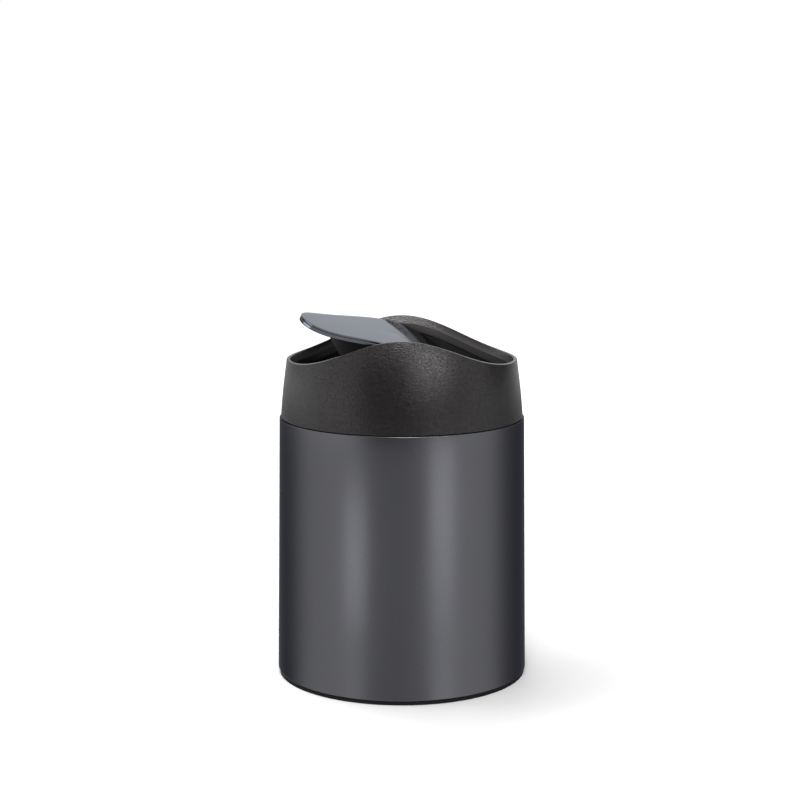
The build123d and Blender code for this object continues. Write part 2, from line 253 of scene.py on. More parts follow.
def two_colours(tree, fraction, first, second):
    """Colour that runs from first to second, each a colour or a socket, as fraction goes from 0 to 1."""
    mix = add_node(tree, "ShaderNodeMix", data_type="RGBA")
    tree.links.new(fraction, mix.inputs[0])
    for place, colour in zip(MIX_COLOURS, (first, second)):
        if isinstance(colour, bpy.types.NodeSocket):
            tree.links.new(colour, mix.inputs[place])
        else:
            mix.inputs[place].default_value = (*colour, 1)
    return mix.outputs[MIX_COLOUR_RESULT]


print("shader helpers ready")

# %% [markdown]
# ### Slate lacquer
# The can and the flap share one finish: steel under a dark slate lacquer, in which fine metal flakes lie
# flat. A flat dark grey would miss what makes it metal: it mirrors the room, in one colour, and more so at a
# slant. So the shader is fully metallic, and its tint holds back the white that a metal's edge would turn.
# The wall is satin and the flap is polished. Two noises do the rest: one at flake size, which changes the
# colour and the tilt of the surface from speck to speck, and a wide one for the slow drift of a sprayed coat.
# Most values of a noise lie between 0.3 and 0.7, so that is the stretch that is spread over the colours.

# %% Slate lacquer
NOISE_LOW, NOISE_HIGH = 0.3, 0.7
FLAKE_SCALE = 5200.0
FLAKE_STRENGTH = 0.1
DRIFT_SCALE = 26.0
GLOSS_DRIFT = 0.02


def slate_lacquer(name, dark, light, edge, roughness, flake_depth):
    """Metallic lacquer between two near colours, with an edge tint, flakes and a drifting gloss."""
    material, tree, place = new_finish(name)
    flakes = add_node(tree, "ShaderNodeTexNoise", {"Vector": place, "Scale": FLAKE_SCALE, "Detail": 2.0})
    drift = add_node(tree, "ShaderNodeTexNoise", {"Vector": place, "Scale": DRIFT_SCALE, "Detail": 3.0})
    speck = add_node(tree, "ShaderNodeMapRange", {"Value": flakes.outputs["Fac"], "From Min": NOISE_LOW,
                                                  "From Max": NOISE_HIGH})
    colour = two_colours(tree, speck.outputs["Result"], dark, light)
    satin = add_node(tree, "ShaderNodeMapRange", {
        "Value": drift.outputs["Fac"], "From Min": NOISE_LOW, "From Max": NOISE_HIGH,
        "To Min": roughness - GLOSS_DRIFT, "To Max": roughness + GLOSS_DRIFT})
    bump = add_node(tree, "ShaderNodeBump", {"Height": flakes.outputs["Fac"], "Strength": FLAKE_STRENGTH,
                                             "Distance": flake_depth})
    shader = add_node(tree, "ShaderNodeBsdfPrincipled", {
        "Base Color": colour, "Metallic": 1.0, "Roughness": satin.outputs["Result"],
        "Normal": bump.outputs["Normal"], "Specular Tint": (*edge, 1)})
    use_shader(tree, shader)
    return material


shell_lacquer = slate_lacquer("shell_lacquer", (0.100, 0.101, 0.112), (0.128, 0.129, 0.142),
                              (0.42, 0.43, 0.47), 0.27, 0.02 * MM)
flap_lacquer = slate_lacquer("flap_lacquer", (0.102, 0.106, 0.121), (0.117, 0.122, 0.138),
                             (0.44, 0.47, 0.52), 0.09, 0.002 * MM)
print("finishes:", shell_lacquer.name, flap_lacquer.name)

# %% [markdown]
# ### Grained and plain plastic, rubber and zinc
# The collar is moulded in a mould with an etched grain: shallow rounded pits well under a millimetre across,
# which scatter the light into fine bright specks. Rounded cells (smooth Voronoi) make the pits and a finer
# noise breaks up their edges. The same grain sets the colour, the tilt and the gloss: the lands between the
# pits are paler and mirror more of the light than the pits do. The inside of the collar has a paler colour
# than its outside, and the inset that its mesh carries says where the inside begins. That difference is
# painted light: inside and outside are one moulding, and the paler inside stands in for light in its shaded
# hollow. The inner mouldings come from polished moulds and only get a faint unevenness. The rubber is duller
# still. The screws, pins and the ballast are zinc-plated.

# %% Plastic, rubber and zinc
INSIDE_LIGHT_FROM, INSIDE_LIGHT_TO = 1.9 * MM, 3.4 * MM
PIT_SMOOTHNESS = 0.4
RIPPLE_SCALE, RIPPLE_SHARE = 2.2, 0.35
SHADE_LOW, SHADE_HIGH = 0.3, 0.9
SHEEN_LOW, SHEEN_HIGH = 0.35, 0.8
GRAIN_STRENGTH = 0.9


def moulded_plastic(name, dark, light, roughness, gloss, grain_size, grain_depth, tint=(1, 1, 1), sparkle=0.1,
                    inside=None):
    """Moulded plastic with a specular level and pits of a given size and depth, in metres.

    Sparkle is the share by which the gloss differs between pits and lands. With an inside colour, the plastic
    turns to that colour where the mesh's inset attribute is deep; a paler inside colour is painted light."""
    material, tree, place = new_finish(name)
    pits = add_node(tree, "ShaderNodeTexVoronoi", {"Vector": place, "Scale": 1 / grain_size,
                                                   "Smoothness": PIT_SMOOTHNESS}, feature="SMOOTH_F1")
    fine = add_node(tree, "ShaderNodeTexNoise", {"Vector": place, "Scale": RIPPLE_SCALE / grain_size,
                                                 "Detail": 1.0})
    ripple = add_node(tree, "ShaderNodeMath", {0: fine.outputs["Fac"], 1: RIPPLE_SHARE},
                      operation="MULTIPLY")
    grain = add_node(tree, "ShaderNodeMath", {0: pits.outputs["Distance"], 1: ripple.outputs[0]},
                     operation="ADD")
    shade = add_node(tree, "ShaderNodeMapRange", {"Value": grain.outputs[0], "From Min": SHADE_LOW,
                                                  "From Max": SHADE_HIGH})
    colour = two_colours(tree, shade.outputs["Result"], dark, light)
    # Painted light: where the inset is deep, the colour turns to the paler inside colour, which stands in for
    # light in the collar's shaded inside.
    if inside:
        inset = add_node(tree, "ShaderNodeAttribute", attribute_name="inset").outputs["Fac"]
        depth = add_node(tree, "ShaderNodeMapRange", {"Value": inset, "From Min": INSIDE_LIGHT_FROM,
                                                      "From Max": INSIDE_LIGHT_TO})
        colour = two_colours(tree, depth.outputs["Result"], colour, inside)
    sheen = add_node(tree, "ShaderNodeMapRange", {
        "Value": grain.outputs[0], "From Min": SHEEN_LOW, "From Max": SHEEN_HIGH,
        "To Min": gloss * (1 - sparkle), "To Max": gloss * (1 + sparkle)})
    bump = add_node(tree, "ShaderNodeBump", {"Height": grain.outputs[0], "Strength": GRAIN_STRENGTH,
                                             "Distance": grain_depth})
    shader = add_node(tree, "ShaderNodeBsdfPrincipled", {
        "Base Color": colour, "Roughness": roughness, "Normal": bump.outputs["Normal"],
        "Specular IOR Level": sheen.outputs["Result"], "Specular Tint": (*tint, 1)})
    use_shader(tree, shader)
    return material


CLOUD_SCALE, CLOUD_GLOSS = 420.0, 0.08


def zinc_plate(name, colour, roughness):
    """Zinc-plated steel with a slightly cloudy sheen."""
    material, tree, place = new_finish(name)
    cloud = add_node(tree, "ShaderNodeTexNoise", {"Vector": place, "Scale": CLOUD_SCALE, "Detail": 3.0})
    sheen = add_node(tree, "ShaderNodeMapRange", {
        "Value": cloud.outputs["Fac"], "From Min": NOISE_LOW, "From Max": NOISE_HIGH,
        "To Min": roughness - CLOUD_GLOSS, "To Max": roughness + CLOUD_GLOSS})
    shader = add_node(tree, "ShaderNodeBsdfPrincipled", {
        "Base Color": (*colour, 1), "Metallic": 1.0, "Roughness": sheen.outputs["Result"]})
    use_shader(tree, shader)
    return material


# The collar's paler inside colour is painted light: inside and outside are one moulding, and only the light
# on them differs.
collar_plastic = moulded_plastic("collar_plastic", (0.0045, 0.0042, 0.0042), (0.0095, 0.0085, 0.0083),
                                 0.26, 0.31, 0.61 * MM, 0.085 * MM, tint=(1.0, 0.96, 0.965), sparkle=0.45,
                                 inside=(0.05, 0.047, 0.047))
black_plastic = moulded_plastic("black_plastic", (0.008, 0.008, 0.008), (0.011, 0.011, 0.011), 0.55, 0.03,
                                0.4 * MM, 0.01 * MM)
bucket_plastic = moulded_plastic("bucket_plastic", (0.006, 0.006, 0.006), (0.012, 0.012, 0.012), 0.38, 0.4,
                                 0.6 * MM, 0.008 * MM)
ring_rubber = moulded_plastic("ring_rubber", (0.004, 0.004, 0.004), (0.007, 0.007, 0.007), 0.75, 0.12,
                              0.3 * MM, 0.02 * MM)
zinc_sheet = zinc_plate("zinc_sheet", (0.42, 0.43, 0.44), 0.42)
zinc_screw = zinc_plate("zinc_screw", (0.56, 0.56, 0.57), 0.3)
print("finishes:", len(bpy.data.materials))

# %% [markdown]
# ## The steel wall
# The wall is one sheet, 0.8 mm thick. Its foot turns in under the bin as a flange, its top turns in and down
# again as a hem that the bucket hangs on. The foot is slightly wider than the top. Turning one closed
# outline gives the sheet its true thickness everywhere, which a single skin with a Solidify modifier would
# have to guess at the folds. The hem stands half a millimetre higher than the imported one, so that only a
# thin dark line is left between the steel and the collar.

# %% Steel wall
SHEET = 0.8 * MM
HEM_WIDTH = 1.9 * MM
HEM_DEPTH = 2.0 * MM
FOOT_ROUNDING = 1.3 * MM
HEM_ROUNDING = 0.35 * MM
HEM_RISE = 0.55 * MM
HEM_END_ROUNDING = 0.1 * MM
BOTTOM_FLANGE = 8.0 * MM

hem_inner = SEAM_RADIUS - HEM_WIDTH
wall_outline = rounded([
    (base_radius - BOTTOM_FLANGE, shell_foot, 0),
    (base_radius, shell_foot, FOOT_ROUNDING),
    (SEAM_RADIUS, shell_top + HEM_RISE, HEM_ROUNDING),
    (hem_inner, shell_top + HEM_RISE, HEM_ROUNDING),
    (hem_inner, shell_top - HEM_DEPTH, HEM_END_ROUNDING),
    (hem_inner + SHEET, shell_top - HEM_DEPTH, HEM_END_ROUNDING),
    (hem_inner + SHEET, shell_top + HEM_RISE - SHEET, 0),
    (SEAM_RADIUS - SHEET, shell_top + HEM_RISE - SHEET, 0),
    (base_radius - SHEET, shell_foot + SHEET, FOOT_ROUNDING - SHEET),
    (base_radius - BOTTOM_FLANGE, shell_foot + SHEET, 0)])
finish_piece(turned_mesh("steel_wall", wall_outline, around=256), "bin", shell_lacquer, "shell_paint",
             "body_shell")

# %% [markdown]
# ## The bucket
# A thin tapered moulding with a rounded floor. Its flange hangs on the hem, and its edge is the dark line
# between the steel and the collar. All its edges are rounded, as a moulding's are.

# %% Bucket
BUCKET_WALL = 1.5 * MM
BUCKET_FOOT_RADIUS = 54.0 * MM
BUCKET_CORNER = 6.0 * MM
BUCKET_CLEARANCE = 0.6 * MM
FLANGE_ROUNDING_BELOW, FLANGE_ROUNDING_ABOVE, MOUTH_ROUNDING = 0.1 * MM, 0.2 * MM, 0.4 * MM

bucket_bottom = node_low("inner_bucket")
bucket_top = node_high("inner_bucket")
bucket_radius = hem_inner - BUCKET_CLEARANCE
flange_radius = node_radius("inner_bucket")
bucket_outline = rounded([
    (0, bucket_bottom, 0),
    (BUCKET_FOOT_RADIUS, bucket_bottom, BUCKET_CORNER),
    (bucket_radius, shell_top + HEM_RISE, 0),
    (flange_radius, shell_top + HEM_RISE, FLANGE_ROUNDING_BELOW),
    (flange_radius, bucket_top, FLANGE_ROUNDING_ABOVE),
    (bucket_radius - BUCKET_WALL, bucket_top, MOUTH_ROUNDING),
    (BUCKET_FOOT_RADIUS - BUCKET_WALL, bucket_bottom + BUCKET_WALL, BUCKET_CORNER - BUCKET_WALL),
    (0, bucket_bottom + BUCKET_WALL, 0)])
finish_piece(turned_mesh("bucket", bucket_outline), "bucket", bucket_plastic, "bucket_plastic",
             "inner_bucket")

# %% [markdown]
# ## The collar, made by a rule
# The collar's wall leans in and bows out, and its rim is a wave: every point of the rim lies at a height
# that depends only on how far it is from the middle along X. That is a rule, so Geometry Nodes make the
# collar. A plain ring of quads carries four numbers at each point: its angle round the axis, how far it is
# set in from the outside, its distance above the seat or below the rim, and which of the two that is. The
# node tree turns these into places. The radius depends on the height and the height on the radius, so the
# tree works them out in turn, a few times over.

# %% Collar cross-section
COLLAR_TOP = 172.5 * MM
COLLAR_TAPER = 5.7 * MM
COLLAR_BULGE = 0.66 * MM
COLLAR_WALL = 2.45 * MM
RIM_FLAT = 1.6 * MM
LIP_STEP = 0.95 * MM
BEVEL_DEPTH = 3.9 * MM
LIP_DEPTH = 7.8 * MM
RIM_ROUNDING = 0.35 * MM
LIP_ROUNDING_ABOVE, LIP_ROUNDING_BELOW = 0.25 * MM, 0.2 * MM
LIP_INSET = COLLAR_WALL + LIP_STEP
FOOT_CHAMFER = 0.2 * MM
OUTSIDE_BELOW_RIM, OUTSIDE_ROWS = 12 * MM, (5 * MM, 10 * MM, 15 * MM)
INSIDE_BELOW_RIM, INSIDE_ROWS = 10 * MM, (14 * MM, 7 * MM)


def collar_section():
    """Closed loop of (inset, distance, 1 if measured down from the rim or 0 if up from the seat)."""
    rim_side = rounded([(0, OUTSIDE_BELOW_RIM, 0), (0, 0, RIM_ROUNDING), (RIM_FLAT, 0, RIM_ROUNDING),
                        (LIP_INSET, BEVEL_DEPTH, LIP_ROUNDING_ABOVE),
                        (LIP_INSET, LIP_DEPTH, LIP_ROUNDING_BELOW), (COLLAR_WALL, LIP_DEPTH, 0)])
    section = [(inset, distance, 1.0) for inset, distance in rim_side]
    section.append((COLLAR_WALL, INSIDE_BELOW_RIM, 1.0))
    section += [(COLLAR_WALL, height, 0.0) for height in INSIDE_ROWS]
    section += [(COLLAR_WALL, 0.0, 0.0), (FOOT_CHAMFER, 0.0, 0.0), (0.0, FOOT_CHAMFER, 0.0)]
    return section + [(0.0, height, 0.0) for height in OUTSIDE_ROWS]


def collar_blank(around=256):
    """Ring of quads that carries the cross-section as point attributes."""
    section = collar_section()
    loops = [[(cos(2 * pi * step / around), sin(2 * pi * step / around), index * MM)
              for step in range(around)] for index in range(len(section))]
    mesh = loops_mesh("collar_shell", loops, closed=True)
    columns = {"angle": [2 * pi * step / around for _ in section for step in range(around)]}
    for column, name in enumerate(("inset", "distance", "from_rim")):
        columns[name] = [row[column] for row in section for _ in range(around)]
    for name, values in columns.items():
        mesh.attributes.new(name, "FLOAT", "POINT").data.foreach_set("value", values)
    return mesh


print("collar section points:", len(collar_section()))

# %% [markdown]
# ### Building a node tree in a script
# These helpers do one step of arithmetic, read a number stored on the points, start a tree with a named input
# for each size, end it with Realize Instances and Set Material, and run it once on a mesh, so that a plain
# mesh is left and the modifier is gone.

# %% Tree helpers
def maths(tree, operation, first, second=0.0):
    """Result of one maths step, on numbers or sockets."""
    return add_node(tree, "ShaderNodeMath", {0: first, 1: second}, operation=operation).outputs[0]


def attribute(tree, name):
    """Value of a point attribute."""
    return add_node(tree, "GeometryNodeInputNamedAttribute", {"Name": name}, data_type="FLOAT").outputs[0]


def new_tree(name, sizes):
    """Geometry node tree with a geometry input and output and a named input for each size."""
    tree = bpy.data.node_groups.new(name, "GeometryNodeTree")
    tree.interface.new_socket("Geometry", in_out="INPUT", socket_type="NodeSocketGeometry")
    tree.interface.new_socket("Geometry", in_out="OUTPUT", socket_type="NodeSocketGeometry")
    for size in sizes:
        tree.interface.new_socket(size, in_out="INPUT", socket_type="NodeSocketFloat")
    return tree


def finish_tree(tree, geometry, material):
    """End a tree with Realize Instances and Set Material."""
    real = add_node(tree, "GeometryNodeRealizeInstances", {"Geometry": geometry})
    painted = add_node(tree, "GeometryNodeSetMaterial", {"Geometry": real.outputs[0], "Material": material})
    tree.links.new(painted.outputs[0], add_node(tree, "NodeGroupOutput").inputs[0])


def run_tree(mesh, tree, sizes):
    """Plain mesh that a node tree makes from a mesh, with its sizes set on the modifier."""
    holder = bpy.data.objects.new(mesh.name + "_blank", mesh)
    bpy.context.scene.collection.objects.link(holder)
    modifier = holder.modifiers.new("rule", "NODES")
    modifier.node_group = tree
    for item in tree.interface.items_tree:
        if item.in_out == "INPUT" and item.name in sizes:
            modifier[item.identifier] = sizes[item.name]
    evaluated = holder.evaluated_get(bpy.context.evaluated_depsgraph_get())
    result = bpy.data.meshes.new_from_object(evaluated)
    result.name = mesh.name
    holder.modifiers.clear()
    bpy.data.objects.remove(holder)
    return result


print("tree helpers ready")

# %% [markdown]
# ### The collar's rule
# The tree's sizes are named inputs, so another rim takes other numbers and the same nodes. Of the numbers on
# the points only the inset stays on the finished collar, for the paler colour of its inside, which is painted
# light.

# %% Collar node tree
MIX_NUMBERS = (0, 2, 3)
RULE_ROUNDS = 4


def wave_height(tree, along, reach, low, peak):
    """Height of the rim's wave at a distance along X from the middle."""
    turn = maths(tree, "MULTIPLY", maths(tree, "DIVIDE", along, reach), pi)
    swell = maths(tree, "ADD", maths(tree, "COSINE", turn), 1.0)
    half_rise = maths(tree, "MULTIPLY", maths(tree, "SUBTRACT", peak, low), 0.5)
    return maths(tree, "ADD", low, maths(tree, "MULTIPLY", swell, half_rise))


def side_radius(tree, height, sizes):
    """Outside radius of the leaning, bowed side at a height."""
    share = maths(tree, "DIVIDE", maths(tree, "SUBTRACT", height, sizes["Seat Height"]),
                  maths(tree, "SUBTRACT", sizes["Top Height"], sizes["Seat Height"]))
    lean = maths(tree, "SUBTRACT", sizes["Seat Radius"], maths(tree, "MULTIPLY", share, sizes["Taper"]))
    bow = maths(tree, "MULTIPLY", maths(tree, "MULTIPLY", share, maths(tree, "SUBTRACT", 1.0, share)), 4.0)
    return maths(tree, "ADD", lean, maths(tree, "MULTIPLY", bow, sizes["Bulge"]))


def collar_tree(sizes, material):
    """Tree that puts each point of the blank in its place on the collar."""
    tree = new_tree("collar_rule", sizes)
    given = add_node(tree, "NodeGroupInput").outputs
    angle = attribute(tree, "angle")
    across, along = maths(tree, "SINE", angle), maths(tree, "COSINE", angle)
    inset, distance = attribute(tree, "inset"), attribute(tree, "distance")
    from_rim = attribute(tree, "from_rim")
    seat_side = maths(tree, "ADD", given["Seat Height"], distance)
    radius = maths(tree, "SUBTRACT", given["Seat Radius"], inset)
    for _ in range(RULE_ROUNDS):
        rim = wave_height(tree, maths(tree, "MULTIPLY", radius, along), given["Rim Reach"],
                          given["Rim Low"], given["Rim Peak"])
        rim_side = maths(tree, "SUBTRACT", rim, distance)
        blend = add_node(tree, "ShaderNodeMix", data_type="FLOAT")
        for socket, value in zip(MIX_NUMBERS, (from_rim, seat_side, rim_side)):
            tree.links.new(value, blend.inputs[socket])
        height = blend.outputs[0]
        radius = maths(tree, "SUBTRACT", side_radius(tree, height, given), inset)
    place = add_node(tree, "ShaderNodeCombineXYZ", {"X": maths(tree, "MULTIPLY", radius, along),
                                                    "Y": maths(tree, "MULTIPLY", radius, across),
                                                    "Z": height})
    moved = add_node(tree, "GeometryNodeSetPosition", {"Geometry": given["Geometry"],
                                                       "Position": place.outputs[0]})
    finish_tree(tree, moved.outputs[0], material)
    return tree


print("collar rule ready, worked out in", RULE_ROUNDS, "rounds")

# %% [markdown]
# ### The collar itself
# The blank goes through the tree with the bin's own sizes. The rim's wave levels out a little past the
# collar's side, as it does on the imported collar.

# %% Collar
def collar_radius(height):
    """Outside radius of the collar at a height, as the tree works it out."""
    share = (height - seat_height) / (COLLAR_TOP - seat_height)
    return collar_seat_radius - COLLAR_TAPER * share + 4 * COLLAR_BULGE * share * (1 - share)


RIM_OVERRUN = 0.15 * MM
collar_sizes = {"Seat Height": seat_height, "Seat Radius": collar_seat_radius, "Top Height": COLLAR_TOP,
                "Taper": COLLAR_TAPER, "Bulge": COLLAR_BULGE, "Rim Low": RIM_LOW, "Rim Peak": rim_peak,
                "Rim Reach": collar_radius(RIM_LOW) + RIM_OVERRUN}
collar_mesh = run_tree(collar_blank(), collar_tree(collar_sizes, collar_plastic), collar_sizes)
for name in ("angle", "distance", "from_rim"):
    collar_mesh.attributes.remove(collar_mesh.attributes[name])
collar_mesh.name = "collar"
finish_piece(collar_mesh, "lid", collar_plastic, "collar_plastic", "lid_collar")

# %% [markdown]
# ## The ledge in the collar
# Low inside the collar a flat ledge takes the frame's four screws. It is part of the same moulding, out of
# the light, and a short turned ring is enough for it.

# %% Ledge
LEDGE_HEIGHT = 3.5 * MM
LEDGE_WIDTH = 3.8 * MM
FRAME_FLANGE = 2.5 * MM
LEDGE_ROUNDING = 0.3 * MM

ledge_bottom = seat_height + FRAME_FLANGE
ledge_outer = collar_radius(ledge_bottom + LEDGE_HEIGHT) - COLLAR_WALL / 2
ledge_inner = ledge_outer - COLLAR_WALL / 2 - LEDGE_WIDTH
ledge_outline = rounded([(ledge_inner, ledge_bottom, LEDGE_ROUNDING), (ledge_outer, ledge_bottom, 0),
                         (ledge_outer, ledge_bottom + LEDGE_HEIGHT, 0),
                         (ledge_inner, ledge_bottom + LEDGE_HEIGHT, LEDGE_ROUNDING)])
finish_piece(turned_mesh("collar_ledge", ledge_outline, around=128), "lid", black_plastic, "collar_plastic")

# %% [markdown]
# ## The flap
# The flap is an arched oval plate. Its top follows the same kind of wave as the rim, but shallower, so that
# it lies flush at the two ends and sinks below the rim at the front and back. It is pressed from sheet with
# a rolled edge: a thin plate edge, a groove, and the band of the roll. The plate is built level and every
# point is then turned about the pivot axis into its pushed pose, so that its object stays at the origin.

# %% Flap surface
FLAP_END_GAP = 0.55 * MM
FLAP_END_HEIGHT = 157.19 * MM
FLAP_CROWN_HEIGHT = 167.0 * MM

flap_half_length = collar_radius(FLAP_END_HEIGHT) - LIP_INSET - FLAP_END_GAP
flap_half_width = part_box("flap_skin")[1][1]


def flap_point(along, across, drop):
    """Place on the pushed flap of a point of the level flap, drop below its top."""
    middle = (FLAP_END_HEIGHT + FLAP_CROWN_HEIGHT) / 2
    swell = (FLAP_CROWN_HEIGHT - FLAP_END_HEIGHT) / 2
    rise = middle + swell * cos(pi * along / flap_half_length) - drop - pivot_height
    return (along * cos(FLAP_TILT) + rise * sin(FLAP_TILT), across,
            pivot_height - along * sin(FLAP_TILT) + rise * cos(FLAP_TILT))


def oval_loop(share, edge_inset, drop, around=192):
    """Loop of an oval share of the flap's size, set in from its edge, drop below the top."""
    half_length = (flap_half_length - edge_inset) * share
    half_width = (flap_half_width - edge_inset) * share
    if share == 0:
        return [flap_point(0, 0, drop)]
    turns = [2 * pi * step / around for step in range(around)]
    return [flap_point(half_length * cos(turn), half_width * sin(turn), drop) for turn in turns]


print("flap half length", round(flap_half_length, 4), "half width", round(flap_half_width, 4))

# %% Flap plate with its rolled edge
PLATE_EDGE = 0.35 * MM
GROOVE_HEIGHT = 0.42 * MM
GROOVE_DEPTH = 0.7 * MM
EDGE_THICKNESS = 2.6 * MM
PLATE_ROUNDING = 0.15 * MM
BAND_ROUNDING = 0.5 * MM
EDGE_REACH = 3 * MM

edge_line = rounded([(EDGE_REACH, 0, 0), (0, 0, PLATE_ROUNDING), (0, PLATE_EDGE, PLATE_ROUNDING),
                     (GROOVE_DEPTH, PLATE_EDGE, 0), (GROOVE_DEPTH, PLATE_EDGE + GROOVE_HEIGHT, 0),
                     (0, PLATE_EDGE + GROOVE_HEIGHT, BAND_ROUNDING), (0, EDGE_THICKNESS, BAND_ROUNDING),
                     (EDGE_REACH, EDGE_THICKNESS, 0)])
INNER_SHARES = (0, 0.12, 0.24, 0.36, 0.48, 0.6, 0.72, 0.84, 0.94)
plate_loops = [oval_loop(share, EDGE_REACH, 0) for share in INNER_SHARES]
plate_loops += [oval_loop(1, point.x, point.y) for point in edge_line]
plate_loops += [oval_loop(share, EDGE_REACH, EDGE_THICKNESS) for share in reversed(INNER_SHARES)]
finish_piece(loops_mesh("flap_plate", plate_loops, closed=False), "flap", flap_lacquer, "flap_paint",
             "flap_skin")

# %% [markdown]
# ## The small screws
# Ten small cross-head screws hold the bin together: four under the base, four in the lid's frame and two on
# the ballast. They are the same screw at three lengths, so one node tree makes them: a flat round head with
# a cross cut out of it, a shank, and a copy at each point of a list, turned to the point's own direction.

# %% Screw node tree
def screw_tree(sizes, material):
    """Tree that puts a cross-head screw at each point, along the point's normal."""
    tree = new_tree("cross_head_screws", sizes)
    given = add_node(tree, "NodeGroupInput").outputs
    head = add_node(tree, "GeometryNodeMeshCylinder", {
        "Vertices": 32, "Radius": given["Head Radius"], "Depth": given["Head Height"]})
    head_lift = add_node(tree, "ShaderNodeCombineXYZ", {
        "Z": maths(tree, "MULTIPLY", given["Head Height"], 0.5)})
    head_place = add_node(tree, "GeometryNodeTransform", {"Geometry": head.outputs[0],
                                                          "Translation": head_lift.outputs[0]})
    cuts = []
    for long_side in (0, 1):
        size = {"X": given["Cross Width"], "Y": given["Cross Width"],
                "Z": maths(tree, "MULTIPLY", given["Cross Depth"], 2.0)}
        size["XY"[long_side]] = given["Cross Length"]
        box_size = add_node(tree, "ShaderNodeCombineXYZ", size)
        cuts.append(add_node(tree, "GeometryNodeMeshCube", {"Size": box_size.outputs[0]}).outputs[0])
    cut_head = add_node(tree, "GeometryNodeMeshBoolean", {"Mesh 1": head_place.outputs[0]},
                        operation="DIFFERENCE", solver="EXACT")
    for cut in cuts:
        tree.links.new(cut, cut_head.inputs["Mesh 2"])
    shank = add_node(tree, "GeometryNodeMeshCylinder", {
        "Vertices": 24, "Radius": given["Shank Radius"],
        "Depth": maths(tree, "SUBTRACT", given["Length"], given["Head Height"])})
    shank_lift = add_node(tree, "ShaderNodeCombineXYZ", {
        "Z": maths(tree, "MULTIPLY", maths(tree, "ADD", given["Length"], given["Head Height"]), 0.5)})
    shank_place = add_node(tree, "GeometryNodeTransform", {"Geometry": shank.outputs[0],
                                                           "Translation": shank_lift.outputs[0]})
    screw = add_node(tree, "GeometryNodeJoinGeometry")
    tree.links.new(cut_head.outputs[0], screw.inputs[0])
    tree.links.new(shank_place.outputs[0], screw.inputs[0])
    turn = add_node(tree, "FunctionNodeAlignRotationToVector", {
        "Vector": add_node(tree, "GeometryNodeInputNamedAttribute", {"Name": "direction"},
                           data_type="FLOAT_VECTOR").outputs[0]}, axis="Z")
    copies = add_node(tree, "GeometryNodeInstanceOnPoints", {
        "Points": given["Geometry"], "Instance": screw.outputs[0], "Rotation": turn.outputs[0]})
    finish_tree(tree, copies.outputs[0], material)
    return tree


SCREW_SIZES = {"Head Radius": 1.5 * MM, "Head Height": 1.2 * MM, "Shank Radius": 0.9 * MM,
               "Cross Length": 1.8 * MM, "Cross Width": 0.4 * MM, "Cross Depth": 0.6 * MM, "Length": 5 * MM}
screw_rule = screw_tree(SCREW_SIZES, zinc_screw)
print("screw tree nodes:", len(screw_rule.nodes))

# %% Screws
BALLAST_SCREW_SPACING = 20 * MM
BALLAST_SCREW_HEAD = -4.8 * MM
BALLAST_SCREW_LENGTH = 9.2 * MM


def screws(name, body, nodes, places, direction, length):
    """Screws with their heads' faces at the places, pointing in one direction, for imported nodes."""
    points = bpy.data.meshes.new(name)
    points.from_pydata([tuple(place) for place in places], [], [])
    aim = points.attributes.new("direction", "FLOAT_VECTOR", "POINT")
    aim.data.foreach_set("vector", [value for _ in places for value in direction])
    mesh = run_tree(points, screw_rule, dict(SCREW_SIZES, Length=length))
    return finish_piece(mesh, body, zinc_screw, "screw_steel", *nodes)


def upright_screws(name, body, nodes):
    """Screws in the place of packed ones that point straight up, sized from their boxes."""
    boxes = [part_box(node) for node in nodes]
    places = [((low[0] + high[0]) / 2, (low[1] + high[1]) / 2, low[2]) for low, high in boxes]
    return screws(name, body, nodes, places, (0, 0, 1), boxes[0][1][2] - boxes[0][0][2])


upright_screws("base_screws", "bin", [f"base_screw_{number}" for number in range(1, 5)])
upright_screws("frame_screws", "lid", [f"frame_screw_{number}" for number in range(1, 5)])
ballast_heads = [(BALLAST_SCREW_HEAD * sin(FLAP_TILT), side * BALLAST_SCREW_SPACING / 2,
                  pivot_height + BALLAST_SCREW_HEAD * cos(FLAP_TILT)) for side in (-1, 1)]
screws("ballast_screws", "flap", ["ballast_screw_1", "ballast_screw_2"], ballast_heads,
       (-sin(FLAP_TILT), 0, -cos(FLAP_TILT)), BALLAST_SCREW_LENGTH)

# %% [markdown]
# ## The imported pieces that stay
# The base disc, the rubber ring, the lid's frame, the stop pads, the flap's carrier with its weighted hull,
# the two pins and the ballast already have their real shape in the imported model. They only need a finish.

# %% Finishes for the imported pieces
packed_finishes = {
    "base_disc": zinc_sheet, "base_ring": ring_rubber, "lid_frame": black_plastic,
    "flap_carrier": black_plastic, "ballast_bar": zinc_sheet, "pivot_pin_front": zinc_screw,
    "pivot_pin_back": zinc_screw, **{f"stop_pad_{number}": ring_rubber for number in range(1, 5)}}
for node, finish in packed_finishes.items():
    slots = frame["nodes"][node].material_slots
    if slots:
        slots[0].material = finish
    else:
        frame["nodes"][node].data.materials.append(finish)
print("packed pieces finished:", len(packed_finishes))

# %% [markdown]
# ## Floor, room and lamps
# The bin stands on a white table in a white room. A large plane catches its soft shadow, and the world is
# white wherever the camera or a reflection sees it, but dimmer where it lights the object, so that pale
# surfaces don't clip. The table has a glow of its own that grows away from the bin, so that it stays white
# out to the room. Only the camera and reflections see that glow, so it doesn't light the bin.

# %% Floor and world
def seen_directly(tree):
    """1 for what the camera, a reflection or a refraction sees, and 0 for light on its way."""
    path = add_node(tree, "ShaderNodeLightPath").outputs
    reflected = add_node(tree, "ShaderNodeMath", {0: path["Is Camera Ray"], 1: path["Is Glossy Ray"]},
                         operation="MAXIMUM")
    return add_node(tree, "ShaderNodeMath", {0: reflected.outputs[0], 1: path["Is Transmission Ray"]},
                    operation="MAXIMUM").outputs[0]


